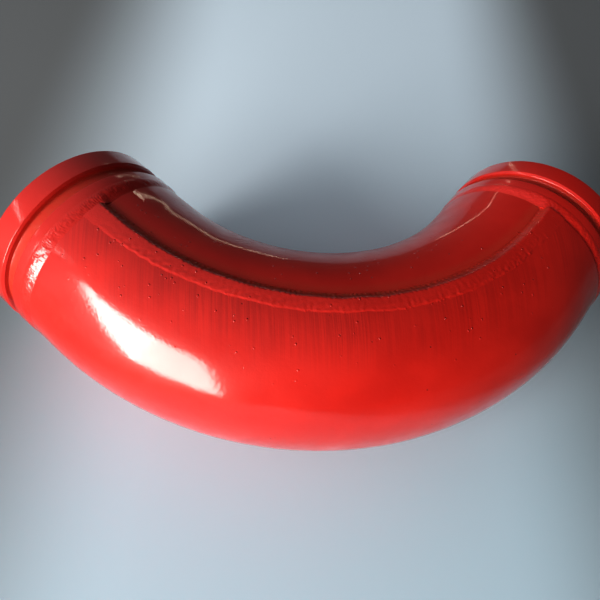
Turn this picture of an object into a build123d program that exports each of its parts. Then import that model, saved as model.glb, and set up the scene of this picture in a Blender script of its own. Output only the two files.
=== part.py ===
from build123d import *
import math
import os

# Twin-wall 90 degree elbow of a concrete delivery line, with a grooved collar on each end.
# Millimetres. The elbow lies flat: the bend's plane is Z = 0.
# The origin is the centre of the inlet's end face. The flow enters along +X, turns left through
# the bend, and leaves along +Y. "Depth" is the distance from an end face into the collar.

# Driving dimensions
CENTRE_TO_FACE = 275.0        # from each end face to the crossing of the two port axes
LEG = 65.0                    # straight length at each end
BORE_RADIUS = 62.5            # nominal 125 mm line
LINER_WALL = 4.0
BACK_SHELL_RADIUS = 73.0      # outside of the thick half shell
BACK_SHELL_WALL = 4.5
INNER_SHELL_RADIUS = 70.0     # outside of the thin half shell
INNER_SHELL_WALL = 2.5
INNER_SHELL_OFFSET = 2.5      # the thin half's centre, from the bore's, towards the bend's centre
RIM_RADIUS = 74.0             # 148 mm rim that a two-shell coupling grips
RIM_LENGTH = 19.0
RIM_CHAMFER = 1.5
GROOVE_RADIUS = 69.5
GROOVE_LENGTH = 10.0
NECK_RADIUS = 73.9            # the neck tapers from here, at the groove,
NECK_FOOT_RADIUS = 72.6       # to here, where it meets the shells
COLLAR_LENGTH = 41.0
SHOULDER_CHAMFER = 1.0
WEAR_RING_LENGTH = 30.0
BACK_SHELL_DEPTH = 47.0       # where the thick half shell ends, short of the collar
SEAM_BACK_ANGLE = 87.0        # edge of the thick half shell, degrees from the outside of the bend
SEAM_INNER_ANGLE = 97.0       # edge of the thin half shell
SEAM_CAP_ANGLE = 83.0         # where the seam bead's cap starts on the thick half shell
SEAM_CROWN_ANGLE = 91.5       # where the cap ends and the hollow flank begins
SEAM_FLANK_ANGLE = 94.0       # the middle of the flank
SEAM_TOE_ANGLE = 98.5         # where the flank ends on the thin half shell
SEAM_CROWN_RADIUS = 73.9
SEAM_CROWN_FALL = 0.3         # how far the cap rounds off at its edges
SEAM_FLANK_FALL = 1.8         # depth of the flank's middle below the thick half shell
RING_BEAD_LAP = 2.0           # how far the ring weld laps onto the neck
RING_BEAD_HEIGHT = 0.4        # its height over the neck's end
RING_BEAD_END_RADIUS = 72.3   # its surface at the thick half shell's edge
FILLET_LEG = 8.0              # ring weld's leg along the thin half shell
FILLET_FOOT_RADIUS = 69.0     # the fillet's slope runs down to here, inside the thin half shell

# Derived dimensions
BEND_RADIUS = CENTRE_TO_FACE - LEG
LINER_RADIUS = BORE_RADIUS + LINER_WALL
SECTOR_REACH = 3 * RIM_RADIUS # larger than any section
NECK_TAPER = (NECK_RADIUS - NECK_FOOT_RADIUS) / (COLLAR_LENGTH - RIM_LENGTH - GROOVE_LENGTH)
BEND_START = Plane(origin=(LEG, 0, 0), x_dir=(0, 1, 0), z_dir=(1, 0, 0))
BEND_AXIS = Axis((LEG, BEND_RADIUS, 0), (0, 0, 1))


def disc(radius, offset=0.0):
    """A round section across the bore; offset moves it towards the bend's centre."""
    return Pos(offset, 0) * Circle(radius)


def polar(radius, angle):
    """A point of the section, at an angle from the outside of the bend towards +Z."""
    return (-radius * math.cos(math.radians(angle)), radius * math.sin(math.radians(angle)))


def sector(angle):
    """The part of the section within an angle either side of the outside of the bend."""
    steps = [-angle, -angle / 2, 0, angle / 2, angle]
    return make_face(Polyline([(0, 0)] + [polar(SECTOR_REACH, step) for step in steps], close=True))


def along_bend(section, depth):
    """Carry a section from one depth at the inlet, round the bend, to the same at the outlet."""
    start = BEND_START * section
    turn = revolve(start, axis=BEND_AXIS, revolution_arc=90)
    reach = LEG - depth
    inlet_leg = extrude(start, amount=reach, dir=(-1, 0, 0))
    outlet_leg = extrude(start.rotate(BEND_AXIS, 90), amount=reach, dir=(0, 1, 0))
    return inlet_leg + turn + outlet_leg


def to_outlet(solid):
    """Mirror an inlet piece onto the outlet, across the plane that halves the bend."""
    return solid.mirror(Plane(origin=(CENTRE_TO_FACE, 0, 0), z_dir=(1, 1, 0)))


def ring(profile, arc=360.0):
    """Turn a (depth, radius) profile about the inlet's axis."""
    outline = make_face(Polyline(profile, close=True))
    return revolve(outline, axis=Axis.X, revolution_arc=arc)


def wear_liner():
    """Hardened tube that the concrete runs through, from wear ring to wear ring."""
    return along_bend(disc(LINER_RADIUS) - disc(BORE_RADIUS), WEAR_RING_LENGTH)


def back_shell_section():
    wall = disc(BACK_SHELL_RADIUS) - disc(BACK_SHELL_RADIUS - BACK_SHELL_WALL)
    return wall & sector(SEAM_BACK_ANGLE)


def inner_shell_section():
    inside = disc(INNER_SHELL_RADIUS - INNER_SHELL_WALL, INNER_SHELL_OFFSET)
    wall = disc(INNER_SHELL_RADIUS, INNER_SHELL_OFFSET) - inside
    return wall - sector(SEAM_INNER_ANGLE)


def back_shell():
    """Thick half shell over the outside of the bend, where the wear is."""
    return along_bend(back_shell_section(), BACK_SHELL_DEPTH)


def inner_shell():
    """Thin half shell on the inside of the bend; it runs on to the collars."""
    return along_bend(inner_shell_section(), COLLAR_LENGTH)


def seam_section():
    """Bead between the two half shells: a flat cap, then a hollow flank to the thin half."""
    cap_middle_angle = (SEAM_CAP_ANGLE + SEAM_CROWN_ANGLE) / 2
    surface = [
        polar(BACK_SHELL_RADIUS, SEAM_CAP_ANGLE),
        polar(SEAM_CROWN_RADIUS - SEAM_CROWN_FALL, SEAM_CAP_ANGLE + 1),
        polar(SEAM_CROWN_RADIUS, cap_middle_angle),
        polar(SEAM_CROWN_RADIUS - SEAM_CROWN_FALL, SEAM_CROWN_ANGLE),
        polar(BACK_SHELL_RADIUS - SEAM_FLANK_FALL, SEAM_FLANK_ANGLE),
        polar(INNER_SHELL_RADIUS, SEAM_TOE_ANGLE),
    ]
    root = [polar(LINER_RADIUS, SEAM_TOE_ANGLE), polar(LINER_RADIUS, SEAM_CAP_ANGLE)]
    outline = make_face(Polyline(surface + root, close=True))
    walls = back_shell_section() + inner_shell_section() + mortar_section() + disc(LINER_RADIUS)
    return outline - walls


def mortar_section():
    """The gap between the liner and the two half shells."""
    back = disc(BACK_SHELL_RADIUS - BACK_SHELL_WALL) & sector(SEAM_BACK_ANGLE)
    inside = disc(INNER_SHELL_RADIUS - INNER_SHELL_WALL, INNER_SHELL_OFFSET)
    return back + (inside - sector(SEAM_BACK_ANGLE)) - disc(LINER_RADIUS)


def mortar_layer():
    """Filling that beds the liner in the shells; it stops at the collars."""
    return along_bend(mortar_section(), COLLAR_LENGTH)


def seam_weld_upper():
    return along_bend(seam_section(), BACK_SHELL_DEPTH)


def neck_radius(depth):
    """Outside of the tapered neck at a depth from the end face."""
    return NECK_FOOT_RADIUS + NECK_TAPER * (COLLAR_LENGTH - depth)


def collar():
    """Rim, groove and neck, bored to fit over the wear ring and the liner's end."""
    groove_start = RIM_LENGTH
    groove_end = RIM_LENGTH + GROOVE_LENGTH
    shoulder = groove_end + SHOULDER_CHAMFER
    profile = [
        (0, LINER_RADIUS),
        (0, RIM_RADIUS - RIM_CHAMFER),
        (RIM_CHAMFER, RIM_RADIUS),
        (groove_start - RIM_CHAMFER, RIM_RADIUS),
        (groove_start, RIM_RADIUS - RIM_CHAMFER),
        (groove_start, GROOVE_RADIUS),
        (groove_end, GROOVE_RADIUS),
        (groove_end, NECK_RADIUS - SHOULDER_CHAMFER),
        (shoulder, neck_radius(shoulder)),
        (COLLAR_LENGTH, NECK_FOOT_RADIUS),
        (COLLAR_LENGTH, LINER_RADIUS),
    ]
    return ring(profile)


def wear_ring():
    """Hard ring at the joint face, inside the collar."""
    profile = [
        (0, BORE_RADIUS),
        (0, LINER_RADIUS),
        (WEAR_RING_LENGTH, LINER_RADIUS),
        (WEAR_RING_LENGTH, BORE_RADIUS),
    ]
    return ring(profile)


def along_inlet(section, start_depth, end_depth):
    """Carry a section straight along the inlet's axis, between two depths."""
    start = Plane(origin=(start_depth, 0, 0), x_dir=(0, 1, 0), z_dir=(1, 0, 0)) * section
    return extrude(start, amount=end_depth - start_depth, dir=(1, 0, 0))


def collar_weld():
    """Ring weld behind the collar: a low butt bead against the thick half shell's edge, and a
    fillet on the thin one."""
    root_radius = BACK_SHELL_RADIUS - BACK_SHELL_WALL
    lap_start = COLLAR_LENGTH - RING_BEAD_LAP
    butt = [
        (COLLAR_LENGTH, root_radius),
        (COLLAR_LENGTH, NECK_FOOT_RADIUS),
        (lap_start, neck_radius(lap_start)),
        (COLLAR_LENGTH, NECK_FOOT_RADIUS + RING_BEAD_HEIGHT),
        (BACK_SHELL_DEPTH, RING_BEAD_END_RADIUS),
        (BACK_SHELL_DEPTH, root_radius),
    ]
    fillet = [
        (COLLAR_LENGTH, FILLET_FOOT_RADIUS),
        (COLLAR_LENGTH, NECK_FOOT_RADIUS),
        (COLLAR_LENGTH + FILLET_LEG, FILLET_FOOT_RADIUS),
    ]
    thick_side = along_inlet(sector(SEAM_INNER_ANGLE), 0, LEG)
    thin_half_bar = along_inlet(disc(INNER_SHELL_RADIUS, INNER_SHELL_OFFSET), 0, LEG)
    return (ring(butt) & thick_side) + (ring(fillet) - thick_side - thin_half_bar)


def build():
    """Every piece of the elbow, by name."""
    upper = seam_weld_upper()
    return {
        "wear_liner": wear_liner(),
        "mortar_layer": mortar_layer(),
        "back_shell": back_shell(),
        "inner_bend_shell": inner_shell(),
        "seam_weld_upper": upper,
        "seam_weld_lower": upper.mirror(Plane.XY),
        "inlet_collar": collar(),
        "outlet_collar": to_outlet(collar()),
        "inlet_wear_ring": wear_ring(),
        "outlet_wear_ring": to_outlet(wear_ring()),
        "inlet_collar_weld": collar_weld(),
        "outlet_collar_weld": to_outlet(collar_weld()),
    }


os.makedirs("parts", exist_ok=True)
for name, piece in build().items():
    piece.label = name
    export_step(piece, os.path.join("parts", name + ".step"))
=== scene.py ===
import math

import bmesh
import bpy
import numpy as np
from mathutils import Matrix, Vector


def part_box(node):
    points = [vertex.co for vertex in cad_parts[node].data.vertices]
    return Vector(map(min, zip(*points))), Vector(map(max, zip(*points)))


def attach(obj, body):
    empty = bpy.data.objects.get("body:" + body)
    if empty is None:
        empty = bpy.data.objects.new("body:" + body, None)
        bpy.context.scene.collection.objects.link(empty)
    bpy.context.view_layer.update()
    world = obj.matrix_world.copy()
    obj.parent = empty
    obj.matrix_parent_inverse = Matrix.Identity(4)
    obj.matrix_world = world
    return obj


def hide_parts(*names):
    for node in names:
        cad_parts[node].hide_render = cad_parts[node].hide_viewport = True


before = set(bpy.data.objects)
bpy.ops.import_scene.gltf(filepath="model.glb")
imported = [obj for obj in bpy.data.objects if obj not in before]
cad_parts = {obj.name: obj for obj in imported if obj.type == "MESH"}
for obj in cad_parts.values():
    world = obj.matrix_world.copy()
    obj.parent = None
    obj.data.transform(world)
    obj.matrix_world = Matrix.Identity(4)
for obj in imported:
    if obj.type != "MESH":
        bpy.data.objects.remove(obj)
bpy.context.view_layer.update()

# The row frame, in metres: the inlet's end face is at the origin and faces -X, the outlet faces +Y,
# and the bend lies flat. "Run" is the distance along the centreline from the inlet's end face,
# "depth" the distance from either end face into its collar, and "angle" goes round the section in
# degrees, from the outside of the bend (0) over the top (90).

# Sizes taken from the frame
CENTRE_TO_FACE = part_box("outlet_collar")[1].y
RIM_RADIUS = -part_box("inlet_collar")[0].y
COLLAR_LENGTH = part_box("inlet_collar")[1].x
BACK_SHELL_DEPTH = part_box("back_shell")[0].x
BACK_SHELL_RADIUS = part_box("back_shell")[1].z
WEAR_RING_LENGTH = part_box("inlet_wear_ring")[1].x
LINER_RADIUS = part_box("inlet_wear_ring")[1].z

# Sizes that the frame's boxes don't show
LEG = 0.065                   # straight length at each end
LINER_WALL = 0.004
BACK_SHELL_WALL = 0.0045
INNER_SHELL_RADIUS = 0.070
INNER_SHELL_WALL = 0.0025
INNER_SHELL_OFFSET = 0.0025   # the thin half's centre, towards the bend's centre
RIM_LENGTH = 0.019
RIM_CHAMFER = 0.0015
GROOVE_LENGTH = 0.010
GROOVE_RADIUS = 0.0695
NECK_RADIUS = 0.0739          # the neck tapers from here, at the groove,
NECK_FOOT_RADIUS = 0.0732     # to here, at the collar's end
BACK_SHELL_EDGE = 87.0        # edge angle of the thick half shell
INNER_SHELL_EDGE = 97.0       # and of the thin one
BEAD_RADIUS = 0.0739          # no weld stands out further than this

# The long weld, by angle
SEAM_OVERLAP = 0.001          # how far it runs into the ring welds
SEAM_CAP_START = 81.6         # its ragged lip at the ends of the bend,
SEAM_CAP_BOW = 2.6            # and how much later the lip comes in the middle
SEAM_CAP_END = 91.7           # where the cap turns down into the hollow flank
SEAM_TOE = 99.2               # where the flank ends on the thin half
SEAM_LIP_RAGGEDNESS = 0.35
SEAM_EDGE_WANDER = 0.25       # of the cap's end and the toe
SEAM_RIPPLE_PITCH = 0.0038
SEAM_RIPPLE_HEIGHT = 0.00020
SEAM_ROUGHNESS = 0.00017
SEAM_ROOT_BACK = 0.0686       # radii of the hidden underside, at the thick half's edge,
SEAM_ROOT_INNER = 0.0677      # at the thin half's edge,
SEAM_ROOT_TOE = 0.0699        # and just under the thin half's surface
SEAM_LIP_DEPTH = 0.0001       # the lip is rooted this far below the thick half's surface
SEAM_FLANK_SINK = 0.0003      # the flank runs this far below the thin half's surface
SEAM_TOP = BEAD_RADIUS - 0.00002
SPATTER_BEADS = 70
SPATTER_RADIUS = 0.0007
SPATTER_HEIGHT = 0.00026

# The ring welds, by depth
RING_WELD_START = 0.0365      # where they lap onto the neck
RING_WELD_LIP = 0.0009        # the neck's own surface ends this much later
RING_WELD_DROP = 0.0014       # the bead ends this far below the thick half's surface
RING_WELD_OVERLAP = 0.0002    # and this far past the thick half's edge
RING_THICK_SIDE = 95.0        # butt bead up to this angle,
RING_THIN_SIDE = 99.0         # fillet from this one
RING_START_SINK = 0.00003     # it starts this far below the neck's surface
RING_TOE_SINK = 0.0001        # and ends this far below the thin half's
RING_TOE_DEPTH = 0.0004       # where its edge is this thick
RING_WELD_SWELL = 0.0003      # how much it bulges in the middle
RING_WELD_RIPPLES = 250
RING_RIPPLE_HEIGHT = 0.00013
RING_ROOT_START = 0.0712      # radii of the hidden underside, at the lap,
RING_ROOT_FACE = 0.0703       # at the collar's end face,
RING_ROOT_BACK = 0.0690       # and under the thick half's side
RING_ROOT_CLEARANCE = 0.0008  # how far below the thin half's surface it stays
FILLET_SLOPE = 0.45           # of the ring weld on the thin half: fall over length
FILLET_SHORTEST = 0.0035

# Derived sizes
BORE_RADIUS = LINER_RADIUS - LINER_WALL
BEND_RADIUS = CENTRE_TO_FACE - LEG
BEND_LENGTH = BEND_RADIUS * math.pi / 2
RUN_LENGTH = 2 * LEG + BEND_LENGTH
SEAM_START = BACK_SHELL_DEPTH - SEAM_OVERLAP

# Surfaces that would coincide are kept this far apart
HAIR = 0.00005

# How finely the pieces are meshed
FIELD_WAVES = 24
SHELL_ROWS = 440
BACK_SHELL_COLUMNS = 270
INNER_SHELL_COLUMNS = 200
SEAM_ROWS = 1100
SEAM_COLUMNS = 60
RING_WELD_ROWS = 1440
RING_WELD_COLUMNS = 26
TURNED_ROWS = 360
ROUND_STEPS = 5
LINER_ROWS = 240
LINER_COLUMNS = 300


# ---------------------------------------------------------------- noise and small helpers

def smooth_step(low, high, value):
    """0 below low, 1 above high, smooth between; works on arrays."""
    share = np.clip((value - low) / (high - low), 0.0, 1.0)
    return share * share * (3.0 - 2.0 * share)


def field(u, v, size, seed):
    """A smooth random field over (u, v), about -1 to 1, with features of the given size."""
    rng = np.random.default_rng(seed)
    total = np.zeros(np.broadcast(u, v).shape)
    for _ in range(FIELD_WAVES):
        heading = rng.uniform(0, 2 * math.pi)
        pitch = size * rng.uniform(0.7, 1.6)
        phase = rng.uniform(0, 2 * math.pi)
        step = 2 * math.pi / pitch
        total += np.sin(step * (u * math.cos(heading) + v * math.sin(heading)) + phase)
    return total / math.sqrt(FIELD_WAVES) / 1.5


def dots(u, v, centres, radius, height):
    """Round bumps of about the given radius and height at the centres (u, v, scale)."""
    total = np.zeros(np.broadcast(u, v).shape)
    for centre_u, centre_v, scale in centres:
        distance = ((u - centre_u) ** 2 + (v - centre_v) ** 2) / (radius * scale) ** 2
        total += height * scale * np.exp(-distance * 1.5)
    return total


# ---------------------------------------------------------------- the elbow's own coordinates

def station(run):
    """Centreline point and outward direction (both x, y) at a run."""
    turn = np.clip((run - LEG) / BEND_RADIUS, 0.0, math.pi / 2)
    x = np.minimum(run, LEG) + BEND_RADIUS * np.sin(turn)
    y = BEND_RADIUS * (1.0 - np.cos(turn)) + np.maximum(run - LEG - BEND_LENGTH, 0.0)
    return x, y, np.sin(turn), -np.cos(turn)


def surface(run, angle, radius):
    """Points (..., 3) at runs, angles in degrees and radii from the centreline."""
    run, angle, radius = np.broadcast_arrays(run, angle, radius)
    x, y, out_x, out_y = station(run)
    out = radius * np.cos(np.radians(angle))
    up = radius * np.sin(np.radians(angle))
    return np.stack([x + out_x * out, y + out_y * out, up], -1)


def thin_half_radius(angle, radius=INNER_SHELL_RADIUS):
    """Radius from the centreline of the thin half shell, whose own centre is offset inwards."""
    turn = np.radians(angle)
    root = radius ** 2 - (INNER_SHELL_OFFSET * np.sin(turn)) ** 2
    return np.sqrt(root) - INNER_SHELL_OFFSET * np.cos(turn)


def across(angle, radius=BACK_SHELL_RADIUS):
    """Distance round the section, in metres, for an angle in degrees."""
    return np.radians(angle) * radius


# ---------------------------------------------------------------- meshes

def quads(ids, wrap_rows):
    """Quads between neighbouring rows of vertex numbers, each row a closed loop."""
    if wrap_rows:
        ids = np.vstack([ids, ids[:1]])
    ids = np.hstack([ids, ids[:, :1]])
    corners = [ids[:-1, :-1], ids[1:, :-1], ids[1:, 1:], ids[:-1, 1:]]
    return np.stack(corners, -1).reshape(-1, 4).tolist()


def make_piece(name, points, flow, dirt, node, wrap_rows=False, sharp=32.0):
    """A closed piece from rows of section loops. Each row is a closed loop of points; the rows
    either close into a ring or end in flat caps."""
    rows, columns = points.shape[:2]
    ids = np.arange(rows * columns).reshape(rows, columns)
    faces = quads(ids, wrap_rows)
    if not wrap_rows:
        faces += [ids[0, ::-1].tolist(), ids[-1].tolist()]
    mesh = bpy.data.meshes.new(name)
    mesh.from_pydata(points.reshape(-1, 3).tolist(), [], faces)
    flow_layer = mesh.attributes.new("flow", "FLOAT_VECTOR", "POINT")
    flow = np.concatenate([flow, np.zeros(flow.shape[:2] + (1,))], -1)
    flow_layer.data.foreach_set("vector", flow.astype(np.float32).ravel())
    dirt_layer = mesh.attributes.new("dirt", "FLOAT", "POINT")
    dirt = np.broadcast_to(dirt, (rows, columns))
    dirt_layer.data.foreach_set("value", np.clip(dirt, 0, 1).astype(np.float32).ravel())
    mesh.validate()
    mesh.update()
    work = bmesh.new()
    work.from_mesh(mesh)
    bmesh.ops.recalc_face_normals(work, faces=work.faces)
    work.to_mesh(mesh)
    work.free()
    mesh.shade_smooth()
    mesh.set_sharp_from_angle(angle=math.radians(sharp))
    piece = bpy.data.objects.new(name, mesh)
    bpy.context.scene.collection.objects.link(piece)
    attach(piece, "root")
    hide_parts(node)
    return piece


def loop_of(outer, inner):
    """Join an outer and an inner grid (rows, columns) into rows of closed loops."""
    return np.concatenate([outer, inner[:, ::-1]], 1)


# ---------------------------------------------------------------- the pieces

def back_shell():
    """Thick half shell: rolled plate, very slightly wavy."""
    run = np.linspace(BACK_SHELL_DEPTH, RUN_LENGTH - BACK_SHELL_DEPTH, SHELL_ROWS)[:, None]
    angle = np.linspace(-BACK_SHELL_EDGE, BACK_SHELL_EDGE, BACK_SHELL_COLUMNS)[None, :]
    width = across(angle)
    waves = 0.00007 * field(run, width, 0.055, 3)
    dents = 0.000012 * field(run, width, 0.011, 4)
    radius = BACK_SHELL_RADIUS + waves - 0.00002 + dents
    outer = surface(run, angle, np.minimum(radius, BEAD_RADIUS))
    inner = surface(run, angle, BACK_SHELL_RADIUS - BACK_SHELL_WALL)
    flow = np.stack(np.broadcast_arrays(run, width), -1)
    return make_piece("back_shell_skin", loop_of(outer, inner), loop_of(flow, flow), 0.0,
                      "back_shell")


def inner_bend_shell():
    """Thin half shell on the inside of the bend, with faint forming wrinkles."""
    edge = INNER_SHELL_EDGE
    run = np.linspace(COLLAR_LENGTH, RUN_LENGTH - COLLAR_LENGTH, SHELL_ROWS)[:, None]
    angle = np.linspace(edge, 360 - edge, INNER_SHELL_COLUMNS)[None, :]
    width = across(angle)
    bend_full = LEG + 0.03
    bend = smooth_step(LEG, bend_full, run) * smooth_step(LEG, bend_full, RUN_LENGTH - run)
    wrinkle = field(run, width, 0.020, 21) * 0.000012 + field(run, width, 0.06, 22) * 0.00006
    radius = thin_half_radius(angle) + wrinkle * (0.4 + 0.6 * bend)
    outer = surface(run, angle, radius)
    inside = thin_half_radius(angle, INNER_SHELL_RADIUS - INNER_SHELL_WALL)
    inner = surface(run, angle, inside)
    flow = np.stack(np.broadcast_arrays(run, width), -1)
    near_seam = 1 - smooth_step(2.0, 7.0, np.minimum(angle, 360 - angle) - edge)
    dirt = loop_of(near_seam * 0.35 + 0 * run, 0 * near_seam + 0 * run)
    return make_piece("inner_bend_shell_skin", loop_of(outer, inner), loop_of(flow, flow), dirt,
                      "inner_bend_shell")


def seam_lip(run, seed):
    """Angle of the cap's ragged edge on the thick half."""
    bow = np.sin(math.pi * (run - SEAM_START) / (RUN_LENGTH - 2 * SEAM_START)) ** 0.7
    fine = SEAM_LIP_RAGGEDNESS * field(run, 0, 0.008, seed)
    coarse = SEAM_LIP_RAGGEDNESS * field(run, 0, 0.03, seed + 1)
    return SEAM_CAP_START + SEAM_CAP_BOW * bow + fine + coarse


def seam_profile(run, angle, lip, cap_end, pipe, seed):
    """Radius of the bead without ripples: a step up at the lip, a rise to the cap's end, and a
    fall to the thin half. The step fades out at both ends of the bead."""
    fade_in = smooth_step(0.0, 0.045, run - SEAM_START)
    fade_out = smooth_step(0.0, 0.06, RUN_LENGTH - SEAM_START - run)
    step = (0.36 + 0.16 * field(run, across(angle), 0.004, seed + 4)) * (fade_in * fade_out)
    rise = step * smooth_step(0.0, 1.3, angle - lip) + (1 - step) * (angle - lip) / (cap_end - lip)
    crown = BEAD_RADIUS - BACK_SHELL_RADIUS - HAIR
    cap = BACK_SHELL_RADIUS + crown * np.clip(rise, 0, 1)
    fall = smooth_step(0.0, 4.8, angle - cap_end)
    return cap + (pipe - SEAM_FLANK_SINK - cap) * fall


def seam_ripples(run, angle, share, cap_end, toe, seed):
    """Height of the flank's ripples and of the whole bead's roughness. The bead was laid more
    smoothly in the outlet's half."""
    smoother = smooth_step(0.50, 0.74, run / RUN_LENGTH)
    flank = smooth_step(-0.8, 1.2, angle - cap_end) * (1 - smooth_step(-0.9, -0.1, angle - toe))
    drift = 0.35 * field(run, 0, 0.014, seed + 5)
    phase = run / SEAM_RIPPLE_PITCH + drift - 1.3 * (share - 0.75) ** 2
    ripple = np.abs(np.sin(math.pi * phase)) - 0.6
    rough = field(run, across(angle), 0.004, seed + 6) * (0.10 + flank * (1 - 0.7 * smoother))
    return SEAM_RIPPLE_HEIGHT * ripple * flank * (1 - 0.55 * smoother) + SEAM_ROUGHNESS * rough


def seam_spatter(run, width, lip, seed):
    """Beads of spatter along the lip, over the middle half of the run."""
    rng = np.random.default_rng(seed + 8)
    centres = []
    for _ in range(SPATTER_BEADS):
        centre_run = rng.uniform(0.3, 0.8) * RUN_LENGTH
        centre_angle = lip.mean() + rng.uniform(-0.2, 1.0)
        scale = rng.uniform(0.5, 1.1)
        centres.append((centre_run, across(centre_angle), scale))
    return dots(run, width, centres, SPATTER_RADIUS, SPATTER_HEIGHT)


def seam_dirt(run, angle, cap_end, toe, seed):
    """Brown dirt in the hollow of the flank, less of it in the outlet's half."""
    valley = smooth_step(0.3, 1.8, angle - cap_end) * (1 - smooth_step(-0.8, 0.2, angle - toe))
    fade = 1 - 0.5 * smooth_step(0.50, 0.74, run / RUN_LENGTH)
    return valley * (0.75 + 0.3 * field(run, across(angle), 0.006, seed + 7)) * fade


def seam_underside(run, side, lip):
    """Hidden side of the bead, from the lip down to its root and up to the toe."""
    corners = [
        (BACK_SHELL_EDGE, BACK_SHELL_RADIUS),
        (BACK_SHELL_EDGE, SEAM_ROOT_BACK),
        (INNER_SHELL_EDGE, SEAM_ROOT_INNER),
        (INNER_SHELL_EDGE, SEAM_ROOT_TOE),
    ]
    angle, radius = np.array(corners).T
    lip_foot = surface(run, side * lip, BACK_SHELL_RADIUS - SEAM_LIP_DEPTH)
    return np.concatenate([lip_foot, surface(run, side * angle[None, :], radius[None, :])], 1)


def seam_weld(name, side, seed):
    """Long bead: a broad dressed cap with a ragged lip on the thick half, and a rippled, hollow
    flank down to the thin half. side is 1 on top and -1 underneath."""
    run = np.linspace(SEAM_START, RUN_LENGTH - SEAM_START, SEAM_ROWS)[:, None]
    share = np.linspace(0, 1, SEAM_COLUMNS)[None, :]
    lip = seam_lip(run, seed)
    toe = SEAM_TOE + SEAM_EDGE_WANDER * field(run, 0, 0.012, seed + 2)
    cap_end = SEAM_CAP_END + SEAM_EDGE_WANDER * field(run, 0, 0.02, seed + 3)
    angle = lip + (toe - lip) * share
    width = across(angle)
    pipe = thin_half_radius(angle)
    radius = seam_profile(run, angle, lip, cap_end, pipe, seed)
    radius = radius + seam_ripples(run, angle, share, cap_end, toe, seed)
    radius = radius + seam_spatter(run, width, lip, seed)
    radius = radius + (pipe - radius) * smooth_step(-0.5, 0.0, angle - toe)
    radius = np.minimum(radius, SEAM_TOP)
    outer = surface(run, side * angle, radius)
    inner = seam_underside(run, side, lip)
    flow = np.stack(np.broadcast_arrays(run, side * width), -1)
    under_flow = np.zeros(inner.shape[:2] + (2,)) + np.array([0.0, side * across(90.0)])
    dirt = seam_dirt(run, angle, cap_end, toe, seed)
    return make_piece(name, loop_of(outer, inner), loop_of(flow, under_flow),
                      loop_of(dirt, np.zeros(inner.shape[:2])),
                      name.replace("_bead", ""), sharp=60.0)


def mirror_run(run, outlet):
    """A depth at the inlet, or the run at the same depth from the outlet's end face."""
    return RUN_LENGTH - run if outlet else run


def ring_profile(share, thick, top, pipe):
    """Radius of a ring weld without ripples: a butt bead on the thick half (thick is 1) and a
    fillet on the thin one (thick is 0)."""
    slope = smooth_step(0.0, 1.15, share)
    swell = RING_WELD_SWELL * np.sin(math.pi * share)
    edge = BACK_SHELL_RADIUS - RING_WELD_DROP
    butt = top + (edge - top) * slope + swell
    fillet = top + (pipe - RING_TOE_SINK - top) * slope + swell
    return butt * thick + fillet * (1 - thick)


def ring_ripples(angle, depth, share, seed):
    """Height of a ring weld's ripples and unevenness."""
    turn = np.radians(angle)
    around = across(angle)
    jitter = 0.5 * np.cos(turn * 11 + seed) + 0.4 * np.cos(turn * 29) \
        + 0.5 * field(around, depth, 0.006, seed + 30)
    phase = turn / (2 * math.pi) * RING_WELD_RIPPLES + jitter - 5.0 * (share - 0.45) ** 2
    ripple = np.abs(np.sin(math.pi * phase)) - 0.64
    hump = np.sin(math.pi * share)
    strength = hump ** 0.5 * (0.55 + 0.45 * field(around, depth, 0.012, seed + 50))
    uneven = 0.00009 * field(around, depth, 0.005, seed + 40) * hump
    grainy = 0.00007 * field(around, depth, 0.0022, seed + 60) * hump
    return RING_RIPPLE_HEIGHT * ripple * strength + uneven + grainy


def ring_wander(angle, seed):
    """How far a ring weld's edges stray along the axis, round the ring."""
    turn = np.radians(angle)
    return np.cos(turn * 3 + seed) * 0.0003 + np.cos(turn * 7 + 2 * seed) * 0.00025 \
        + np.cos(turn * 23 + 5 * seed) * 0.0001


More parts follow.
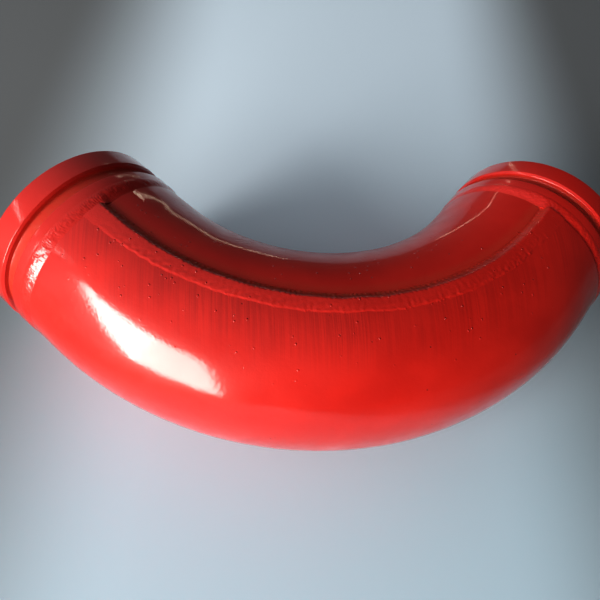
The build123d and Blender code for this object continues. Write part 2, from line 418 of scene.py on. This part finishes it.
def collar_weld(name, outlet, seed):
    """Ring weld: a low rippled bead against the thick half's edge, and a fillet on the thin half.
    lean is the angle from the outside of the bend, the same on both sides."""
    angle = np.linspace(0, 360, RING_WELD_ROWS, endpoint=False)[:, None]
    share = np.linspace(0, 1, RING_WELD_COLUMNS)[None, :]
    still = 0 * angle
    around = across(angle)
    lean = np.abs((angle + 180) % 360 - 180)
    thick = 1 - smooth_step(RING_THICK_SIDE, RING_THIN_SIDE, lean)
    wander = ring_wander(angle, seed)
    pipe = thin_half_radius(np.clip(lean, 90, 180))
    fillet_length = np.maximum((NECK_FOOT_RADIUS - pipe) / FILLET_SLOPE, FILLET_SHORTEST)
    foot = COLLAR_LENGTH + fillet_length
    start = RING_WELD_START + wander
    end = (BACK_SHELL_DEPTH + RING_WELD_OVERLAP) * thick + (foot + wander) * (1 - thick)
    depth = start + (end - start) * share
    radius = ring_profile(share, thick, neck_radius(start) - RING_START_SINK, pipe)
    radius = np.minimum(radius + ring_ripples(angle, depth, share, seed), BEAD_RADIUS)
    outer = surface(mirror_run(depth, outlet), angle, radius)
    root = RING_ROOT_BACK * thick + (pipe - RING_ROOT_CLEARANCE) * (1 - thick)
    under_depth = np.concatenate([depth[:, :1], still + COLLAR_LENGTH, still + COLLAR_LENGTH,
                                  np.minimum(end, BACK_SHELL_DEPTH), end], 1)
    under_radius = np.concatenate([still + RING_ROOT_START, still + RING_ROOT_FACE, root, root,
                                   radius[:, -1:] - RING_TOE_DEPTH], 1)
    inner = surface(mirror_run(under_depth, outlet), angle, under_radius)
    flow = np.stack(np.broadcast_arrays(around, depth), -1)
    under_flow = np.stack(np.broadcast_arrays(around, under_depth), -1)
    dirt = (1 - smooth_step(0.0, 0.06, share)) * 0.2 + smooth_step(0.92, 1.0, share) * 0.35 + still
    return make_piece(name, loop_of(outer, inner), loop_of(flow, under_flow),
                      loop_of(dirt, np.zeros(inner.shape[:2])), name.replace("_bead", ""),
                      wrap_rows=True, sharp=60.0)


def neck_radius(depth):
    """Outside of the collar's tapered neck at a depth from the end face."""
    taper = (NECK_RADIUS - NECK_FOOT_RADIUS) / (COLLAR_LENGTH - RIM_LENGTH - GROOVE_LENGTH)
    return NECK_FOOT_RADIUS + taper * (COLLAR_LENGTH - depth)


def rounded(corners):
    """A closed outline with each corner rounded. Corners are (depth, radius, rounding)."""
    outline = []
    count = len(corners)
    for i, (depth, radius, rounding) in enumerate(corners):
        here = np.array([depth, radius])
        back = np.array(corners[i - 1][:2]) - here
        ahead = np.array(corners[(i + 1) % count][:2]) - here
        from_point = here + back / np.linalg.norm(back) * rounding
        to_point = here + ahead / np.linalg.norm(ahead) * rounding
        for k in range(ROUND_STEPS):
            t = k / (ROUND_STEPS - 1)
            outline.append((1 - t) ** 2 * from_point + 2 * t * (1 - t) * here + t * t * to_point)
    return np.array(outline)


def lathe(name, corners, outlet, node, dirt_from=None):
    """A turned ring about a port's axis, from a rounded outline."""
    outline = rounded(corners)
    angle = np.linspace(0, 360, TURNED_ROWS, endpoint=False)[:, None]
    depth = outline[None, :, 0]
    radius = np.minimum(outline[None, :, 1], RIM_RADIUS)
    points = surface(mirror_run(depth, outlet), angle, radius)
    flow = np.stack(np.broadcast_arrays(across(angle), depth + (radius - BORE_RADIUS)), -1)
    dirt = 0.0 if dirt_from is None else dirt_from(depth, radius)
    return make_piece(name, points, flow, dirt, node, wrap_rows=True, sharp=50.0)


def collar(port, outlet):
    """Rim, groove and neck, turned, with small rounds on the edges. Past the neck's end the
    outline dives under the ring weld."""
    groove_end = RIM_LENGTH + GROOVE_LENGTH
    neck_end = RING_WELD_START + RING_WELD_LIP
    edge = 0.0003
    front_edge = 0.0004
    groove_corner = 0.0009
    wall_lean = 0.0004
    shoulder = 0.0007
    corners = [
        (0.0, LINER_RADIUS, edge),
        (0.0, RIM_RADIUS - RIM_CHAMFER, front_edge),
        (RIM_CHAMFER, RIM_RADIUS, front_edge),
        (RIM_LENGTH - RIM_CHAMFER, RIM_RADIUS, edge),
        (RIM_LENGTH, RIM_RADIUS - RIM_CHAMFER, edge),
        (RIM_LENGTH + wall_lean, GROOVE_RADIUS, groove_corner),
        (groove_end - wall_lean, GROOVE_RADIUS, groove_corner),
        (groove_end, NECK_RADIUS - shoulder, edge),
        (groove_end + shoulder, NECK_RADIUS, edge),
        (neck_end, neck_radius(neck_end), edge),
        (COLLAR_LENGTH, INNER_SHELL_RADIUS, edge),
        (COLLAR_LENGTH, LINER_RADIUS, edge),
    ]

    def groove_dirt(depth, radius):
        deep = 1 - smooth_step(GROOVE_RADIUS + 0.0005, GROOVE_RADIUS + 0.0030, radius)
        inside = smooth_step(RIM_LENGTH - 0.002, RIM_LENGTH + 0.001, depth)
        return 0.55 * deep * inside * (1 - smooth_step(groove_end, groove_end + 0.002, depth))

    return lathe(port + "_collar_turned", corners, outlet, port + "_collar",
                 dirt_from=groove_dirt)


def wear_ring(port, outlet):
    """Hard ring at the joint face, a hair behind the collar's face, with a worn inner edge."""
    front = 0.0003
    back = WEAR_RING_LENGTH - 0.0002
    outside = LINER_RADIUS - HAIR
    corners = [
        (front, BORE_RADIUS, 0.0009),
        (front, outside, 0.0003),
        (back, outside, 0.0003),
        (back, BORE_RADIUS, 0.0005),
    ]
    return lathe(port + "_wear_ring_turned", corners, outlet, port + "_wear_ring")


def wear_liner():
    """Hard cast tube inside, slightly rough, the whole way between the wear rings."""
    gap = 0.0002
    run = np.linspace(WEAR_RING_LENGTH + gap, RUN_LENGTH - WEAR_RING_LENGTH - gap, LINER_COLUMNS)
    run = run[None, :]
    angle = np.linspace(0, 360, LINER_ROWS, endpoint=False)[:, None]
    side_x = np.cos(np.radians(angle)) * BORE_RADIUS
    side_y = np.sin(np.radians(angle)) * BORE_RADIUS
    rough = field(run, side_x, 0.012, 61) + field(run, side_y, 0.010, 62)
    inner = surface(run, angle, BORE_RADIUS + 0.00006 * rough)
    outer = surface(run, angle, LINER_RADIUS - HAIR)
    flow = np.stack(np.broadcast_arrays(run, across(angle, BORE_RADIUS)), -1)
    return make_piece("wear_liner_cast", loop_of(inner, outer), loop_of(flow, flow), 0.0,
                      "wear_liner", wrap_rows=True)


# ---------------------------------------------------------------- materials

class Graph:
    """Short words for a material's nodes. Scales are in cycles per metre."""

    def __init__(self, name):
        self.material = bpy.data.materials.new(name)
        self.material.use_nodes = True
        self.nodes = self.material.node_tree.nodes
        self.links = self.material.node_tree.links
        self.shader = self.nodes["Principled BSDF"]

    def node(self, kind, settings=None, inputs=None):
        made = self.nodes.new(kind)
        for key, value in (settings or {}).items():
            setattr(made, key, value)
        for key, value in (inputs or {}).items():
            if isinstance(value, bpy.types.NodeSocket):
                self.links.new(value, made.inputs[key])
            else:
                made.inputs[key].default_value = value
        return made

    def place(self):
        """Position in the row frame, in metres."""
        return self.node("ShaderNodeTexCoord").outputs["Object"]

    def attribute(self, name, output):
        return self.node("ShaderNodeAttribute", {"attribute_name": name}).outputs[output]

    def stretched(self, vector, scale):
        return self.node("ShaderNodeMapping", None, {"Vector": vector, "Scale": scale}).outputs[0]

    def noise(self, vector, scale, detail, roughness=0.5):
        inputs = {"Vector": vector, "Scale": scale, "Detail": detail, "Roughness": roughness}
        return self.node("ShaderNodeTexNoise", None, inputs).outputs["Fac"]

    def spots(self, vector, scale):
        inputs = {"Vector": vector, "Scale": scale}
        return self.node("ShaderNodeTexVoronoi", None, inputs).outputs["Distance"]

    def ramp(self, value, low, high, start=0.0, end=1.0):
        """A smooth change from start to end while value goes from low to high."""
        inputs = {"Value": value, "From Min": low, "From Max": high, "To Min": start, "To Max": end}
        settings = {"interpolation_type": "SMOOTHSTEP"}
        return self.node("ShaderNodeMapRange", settings, inputs).outputs["Result"]

    def math(self, operation, first, second):
        made = self.node("ShaderNodeMath", {"operation": operation}, {0: first, 1: second})
        return made.outputs[0]

    def dot(self, vector, way):
        """How far a vector reaches along a direction."""
        settings = {"operation": "DOT_PRODUCT"}
        return self.node("ShaderNodeVectorMath", settings, {0: vector, 1: way}).outputs["Value"]

    def blend(self, share, first, second):
        """Colour from first to second as share goes from 0 to 1. A Mix node's colour sockets are
        numbers 6 and 7, and its colour output is number 2."""
        made = self.node("ShaderNodeMix", {"data_type": "RGBA"}, {0: share, 6: first, 7: second})
        return made.outputs[2]

    def bump(self, height, strength, distance, below=None):
        inputs = {"Height": height, "Strength": strength, "Distance": distance}
        if below is not None:
            inputs["Normal"] = below
        return self.node("ShaderNodeBump", None, inputs).outputs["Normal"]

    def set(self, **sockets):
        for key, value in sockets.items():
            socket = self.shader.inputs[key.replace("_", " ").title().replace("Ior", "IOR")]
            if isinstance(value, bpy.types.NodeSocket):
                self.links.new(value, socket)
            else:
                socket.default_value = value
        return self.material


RED_DEEP = (0.51, 0.0180, 0.0110, 1.0)
RED_BRIGHT = (0.58, 0.0230, 0.0140, 1.0)
RUN_SHADE = (0.32, 0.0100, 0.0070, 1.0)
PIT_PAINTED_SHADE = (0.12, 0.008, 0.006, 1.0)
DIRT_BROWN = (0.420, 0.060, 0.032, 1.0)
END_TO_END = (0.707, 0.707, 0.0)   # square to the plane that halves the bend
PEEL_DEPTH = 0.00012
RUN_DEPTH = 0.00012
GRAIN_DEPTH = 0.0003
SPECK_DEPTH = 0.0005
PIT_PAINTED_SHADE_SHARE = 0.6
DIRT_ROUGHENING = 0.22
COAT_OVER_DIRT = 0.20


def paint_runs(g, place, around):
    """Fine runs of paint across the thick half, and how strongly they show: only high up on the
    side of the bend, and in patches."""
    along = g.dot(place, END_TO_END)
    strand = g.node("ShaderNodeCombineXYZ", None, {0: along, 1: g.math("MULTIPLY", around, 0.02)})
    runs = g.noise(strand.outputs[0], 850.0, 2.0, 0.6)
    patch = g.ramp(g.noise(place, 30.0, 2.0), 0.28, 0.60, 0.35, 1.0)
    return runs, g.math("MULTIPLY", g.ramp(around, 0.062, 0.100), patch)


def rare_pits(g, place):
    """Small round pits in the paint, in a few places only."""
    pits = g.ramp(g.spots(place, 150.0), 0.06, 0.09, 1.0, 0.0)
    return g.math("MULTIPLY", pits, g.ramp(g.noise(place, 60.0, 1.0), 0.61, 0.65))


def raised_specks(g, place, around):
    """Specks under the paint, in clusters, thickest towards the long weld."""
    specks = g.ramp(g.spots(place, 180.0), 0.08, 0.15, 1.0, 0.0)
    clusters = g.ramp(g.noise(place, 48.0, 1.0), 0.50, 0.54)
    return g.math("MULTIPLY", specks, g.math("MULTIPLY", clusters, g.ramp(around, 0.050, 0.100)))


def red_paint(name, streaks=0.0, peel=0.35, grain=0.0, gloss=0.07, coat=0.95):
    """Brushed and sprayed red enamel on steel. streaks adds fine runs of paint, peel the orange
    peel and grain the fine roughness of a weld; gloss is the clear top's roughness, and coat how
    much of it there is."""
    g = Graph(name)
    place = g.place()
    around = g.node("ShaderNodeSeparateXYZ", None, {0: g.attribute("flow", "Vector")}).outputs["Y"]
    cloud = g.ramp(g.noise(place, 22.0, 4.0), 0.35, 0.68)
    colour = g.blend(cloud, RED_DEEP, RED_BRIGHT)
    normal = g.bump(g.noise(place, 430.0, 3.0), 1.0, PEEL_DEPTH * peel)
    if streaks:
        runs, high = paint_runs(g, place, around)
        share = g.math("MULTIPLY", g.ramp(runs, 0.36, 0.68), g.math("MULTIPLY", high, streaks))
        colour = g.blend(share, colour, RUN_SHADE)
        normal = g.bump(g.math("MULTIPLY", runs, high), streaks, RUN_DEPTH, normal)
    if grain:
        normal = g.bump(g.noise(place, 900.0, 4.0, 0.6), grain, GRAIN_DEPTH, normal)
    pit = rare_pits(g, place)
    speck = raised_specks(g, place, around)
    # Painted shade: each pit's colour is darkened, standing in for the shade inside it.
    colour = g.blend(g.math("MULTIPLY", pit, PIT_PAINTED_SHADE_SHARE), colour, PIT_PAINTED_SHADE)
    normal = g.bump(g.math("SUBTRACT", speck, pit), 1.0, SPECK_DEPTH, normal)
    patchy = g.ramp(g.noise(place, 260.0, 4.0), 0.28, 0.60, 0.55, 1.0)
    dirt = g.math("MULTIPLY", g.attribute("dirt", "Fac"), patchy)
    colour = g.blend(dirt, colour, DIRT_BROWN)
    rough = g.ramp(g.noise(place, 60.0, 5.0), 0.3, 0.7, 0.30, 0.42)
    rough = g.math("ADD", rough, g.math("MULTIPLY", dirt, DIRT_ROUGHENING))
    return g.set(base_color=colour, roughness=rough, normal=normal, ior=1.45,
                 specular_ior_level=0.2, coat_roughness=gloss, coat_ior=1.55, coat_normal=normal,
                 coat_weight=g.ramp(dirt, 0.0, 0.5, coat, COAT_OVER_DIRT))


CAST_DARK = (0.095, 0.085, 0.078, 1.0)
CAST_LIGHT = (0.17, 0.125, 0.095, 1.0)
CAST_RUST = (0.23, 0.085, 0.035, 1.0)
STEEL_DARK = (0.30, 0.29, 0.28, 1.0)
STEEL_LIGHT = (0.42, 0.40, 0.37, 1.0)
STEEL_RUST = (0.26, 0.11, 0.05, 1.0)
CEMENT_DARK = (0.33, 0.32, 0.29, 1.0)
CEMENT_LIGHT = (0.52, 0.50, 0.46, 1.0)


def cast_liner():
    """Dark hardened casting, scoured dull by the concrete, with rust bloom."""
    g = Graph("hard_liner")
    place = g.place()
    cloud = g.ramp(g.noise(place, 30.0, 6.0, 0.6), 0.35, 0.7)
    colour = g.blend(cloud, CAST_DARK, CAST_LIGHT)
    rust = g.ramp(g.noise(place, 85.0, 7.0, 0.7), 0.56, 0.70)
    colour = g.blend(g.math("MULTIPLY", rust, 0.7), colour, CAST_RUST)
    rough = g.ramp(g.noise(place, 120.0, 4.0), 0.3, 0.7, 0.48, 0.75)
    normal = g.bump(g.noise(place, 520.0, 6.0, 0.65), 0.7, 0.0005)
    return g.set(base_color=colour, roughness=rough, normal=normal, metallic=0.55)


def turned_ring():
    """Turned hard steel with fine feed lines and a light bloom of rust."""
    g = Graph("wear_ring_steel")
    place = g.place()
    flow = g.attribute("flow", "Vector")
    lines = g.noise(g.stretched(flow, (3.0, 2600.0, 1.0)), 1.0, 2.0)
    cloud = g.ramp(g.noise(place, 45.0, 5.0), 0.3, 0.7)
    colour = g.blend(cloud, STEEL_DARK, STEEL_LIGHT)
    rust = g.ramp(g.noise(place, 110.0, 6.0, 0.65), 0.55, 0.68)
    colour = g.blend(g.math("MULTIPLY", rust, 0.6), colour, STEEL_RUST)
    rough = g.math("ADD", g.ramp(lines, 0.3, 0.7, 0.26, 0.40), g.math("MULTIPLY", rust, 0.3))
    normal = g.bump(lines, 0.35, 0.00006)
    return g.set(base_color=colour, roughness=rough, normal=normal, metallic=0.9)


def mortar():
    """Grey cement filling, sealed between the liner and the shells."""
    g = Graph("mortar")
    place = g.place()
    cloud = g.ramp(g.noise(place, 70.0, 6.0, 0.6), 0.3, 0.7)
    colour = g.blend(cloud, CEMENT_DARK, CEMENT_LIGHT)
    normal = g.bump(g.noise(place, 700.0, 5.0, 0.7), 0.6, 0.0004)
    rough = g.ramp(g.noise(place, 200.0, 3.0), 0.3, 0.7, 0.8, 0.95)
    return g.set(base_color=colour, roughness=rough, normal=normal)


# ---------------------------------------------------------------- the stage

BEND_MIDDLE = (0.17, 0.07, 0.0)    # what the panes of light face
PANE_DISTANCE = 3.0
DAYLIGHT = (1.0, 0.97, 0.93, 1.0)
WARM_DAYLIGHT = (1.0, 0.96, 0.90, 1.0)
GOLDEN_LIGHT = (1.0, 0.86, 0.66, 1.0)
ROOM_LIGHT = (0.86, 0.95, 1.0, 1.0)
ROOM_BRIGHT_SIDE = (-0.60, -0.60, 0.25)
# The floor's colours below are painted light and shade: paler behind the bend than in front, a
# painted shade to either side of a pale middle line, and a faint painted glow behind the bend.
FLOOR_FRONT = (0.54, 0.70, 0.80, 1.0)
FLOOR_BACK = (0.62, 0.71, 0.79, 1.0)
FLOOR_PAINTED_SHADE = (0.15, 0.155, 0.16, 1.0)
FLOOR_SIDEWAYS = (0.80, 0.60, 0.0)
FLOOR_BACKWARDS = (-0.60, 0.80, 0.0)
FLOOR_PALE_MIDDLE = 0.215          # the floor is palest along this line, measured sideways,
FLOOR_PALE_HALF_WIDTH = 0.14       # stays so this far to both sides of it
FLOOR_FULL_PAINTED_SHADE_HALF_WIDTH = 0.350       # and is dimmest from here on
FLOOR_PAINTED_GLOW = 0.20                  # painted light: a faint glow of its own, behind the bend
FLOOR_REACH = 3.0

# Name, strength, colour and corners of each pane; a corner is an (azimuth, elevation) direction
PANES = [
    ("window_left", 22.0, DAYLIGHT, [(-36, 31), (-5, 31), (-5, -5)]),
    ("window_right", 16.5, WARM_DAYLIGHT,
     [(-5, 31), (8, 31), (13, 26), (18, 12), (20, 0), (18, -9), (10, -11), (-5, -5)]),
    ("lintel_left", 20.0, DAYLIGHT, [(-62, 31.5), (-45, 32.5), (-45, 31.7), (-62, 30.7)]),
    ("lintel_right", 4.0, DAYLIGHT, [(-20, 34.0), (4, 35.4), (4, 34.6), (-20, 33.2)]),
    ("slit_high", 26.0, GOLDEN_LIGHT,
     [(-141.0, 20), (-140.7, 20), (-142.0, 15.5), (-142.3, 15.5)]),
    ("slit_low", 9.0, GOLDEN_LIGHT,
     [(-142.3, 15.5), (-142.0, 15.5), (-147.9, -6), (-148.2, -6)]),
]


def direction(azimuth, elevation):
    """Unit vector towards a direction, azimuth 0 towards -Y and 90 towards +X, in degrees."""
    a = math.radians(azimuth)
    e = math.radians(elevation)
    return Vector((math.sin(a) * math.cos(e), -math.cos(a) * math.cos(e), math.sin(e)))


def add_camera():
    """A phone's camera, close above the elbow and tilted a little sideways."""
    target = Vector((0.1677, 0.0764, 0.0))
    distance = 0.3977
    azimuth = 28.22
    elevation = 59.93
    roll = 13.65
    back = direction(azimuth, elevation)
    camera = bpy.data.objects.new("camera", bpy.data.cameras.new("camera"))
    bpy.context.scene.collection.objects.link(camera)
    camera.data.sensor_width = 36.0
    camera.data.lens = 30.42
    camera.data.clip_start = 0.01
    camera.location = target + back * distance
    aim = (-back).to_track_quat("-Z", "Y").to_matrix()
    tilt = Matrix.Rotation(math.radians(roll), 3, back)
    camera.rotation_euler = (tilt @ aim).to_euler()
    bpy.context.scene.camera = camera


def stage_piece(name, places, material):
    """A flat piece of the stage with one face."""
    mesh = bpy.data.meshes.new(name)
    mesh.from_pydata(places, [], [tuple(range(len(places)))])
    mesh.materials.append(material)
    piece = bpy.data.objects.new(name, mesh)
    bpy.context.scene.collection.objects.link(piece)
    return piece


def add_pane(name, strength, colour, corners):
    """A glowing pane that lights the elbow and isn't seen itself."""
    middle = Vector(BEND_MIDDLE)
    places = [tuple(middle + direction(*corner) * PANE_DISTANCE) for corner in corners]
    glow = Graph(name).set(base_color=(0, 0, 0, 1), emission_color=colour,
                           emission_strength=strength)
    stage_piece(name, places, glow).visible_camera = False


def add_floor():
    """A pale table top under the elbow. Its colour holds painted shade to either side, is painted
    paler behind the bend than in front, and glows faintly behind the bend as painted light.
    """
    g = Graph("floor_painted_light_and_shade")
    place = g.place()
    behind = g.dot(place, FLOOR_BACKWARDS)
    off_middle = g.math("SUBTRACT", g.dot(place, FLOOR_SIDEWAYS), FLOOR_PALE_MIDDLE)
    off_middle = g.math("ABSOLUTE", off_middle, 0.0)
    # Painted light and shade: the colour is paler behind the bend than in front, and darkens to
    # either side of the pale middle line.
    pale = g.blend(g.ramp(behind, -0.16, 0.16), FLOOR_FRONT, FLOOR_BACK)
    painted_shade = g.ramp(off_middle, FLOOR_PALE_HALF_WIDTH, FLOOR_FULL_PAINTED_SHADE_HALF_WIDTH)
    colour = g.blend(painted_shade, pale, FLOOR_PAINTED_SHADE)
    # Painted light: the floor glows faintly behind the bend, though it is no lamp.
    g.set(base_color=colour, roughness=0.75, emission_color=colour,
          emission_strength=g.ramp(behind, -0.10, 0.30, 0.0, FLOOR_PAINTED_GLOW))
    signs = [(-1, -1), (1, -1), (1, 1), (-1, 1)]
    places = [(x * FLOOR_REACH, y * FLOOR_REACH, -RIM_RADIUS) for x, y in signs]
    stage_piece("floor", places, g.material)


def add_world():
    """Dim room light: palest around the window, darkest behind the bend."""
    world = bpy.data.worlds.new("room")
    world.use_nodes = True
    nodes = world.node_tree.nodes
    links = world.node_tree.links
    place = nodes.new("ShaderNodeTexCoord")
    facing = nodes.new("ShaderNodeVectorMath")
    facing.operation = "DOT_PRODUCT"
    facing.inputs[1].default_value = ROOM_BRIGHT_SIDE
    spread = nodes.new("ShaderNodeMapRange")
    spread.interpolation_type = "SMOOTHSTEP"
    limits = {"From Min": -0.35, "From Max": 0.9, "To Min": 0.04, "To Max": 0.60}
    for key, value in limits.items():
        spread.inputs[key].default_value = value
    background = nodes["Background"]
    background.inputs["Color"].default_value = ROOM_LIGHT
    links.new(place.outputs["Generated"], facing.inputs[0])
    links.new(facing.outputs["Value"], spread.inputs["Value"])
    links.new(spread.outputs["Result"], background.inputs["Strength"])
    bpy.context.scene.world = world


# ---------------------------------------------------------------- build

bpy.context.scene.view_settings.view_transform = "Standard"
bpy.context.scene.view_settings.gamma = 0.78
add_camera()
add_world()
add_floor()
for pane in PANES:
    add_pane(*pane)

shell_paint = red_paint("red_paint_shell", streaks=0.5, peel=0.6, gloss=0.11)
thin_paint = red_paint("red_paint_inner_shell", peel=0.14, grain=0.03, gloss=0.03, coat=0.6)
weld_paint = red_paint("red_paint_weld", grain=0.35)
collar_paint = red_paint("red_paint_collar", peel=0.5, gloss=0.10)
liner_iron = cast_liner()
ring_steel = turned_ring()

finishes = [
    (back_shell(), shell_paint),
    (inner_bend_shell(), thin_paint),
    (seam_weld("seam_weld_upper_bead", 1, 100), weld_paint),
    (seam_weld("seam_weld_lower_bead", -1, 200), weld_paint),
    (wear_liner(), liner_iron),
]
for port, outlet, seed in (("inlet", False, 1), ("outlet", True, 2)):
    finishes.append((collar_weld(port + "_collar_weld_bead", outlet, seed), weld_paint))
    finishes.append((collar(port, outlet), collar_paint))
    finishes.append((wear_ring(port, outlet), ring_steel))
for piece, finish in finishes:
    piece.data.materials.append(finish)
mortar_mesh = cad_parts["mortar_layer"].data
mortar_mesh.materials.clear()
mortar_mesh.materials.append(mortar())
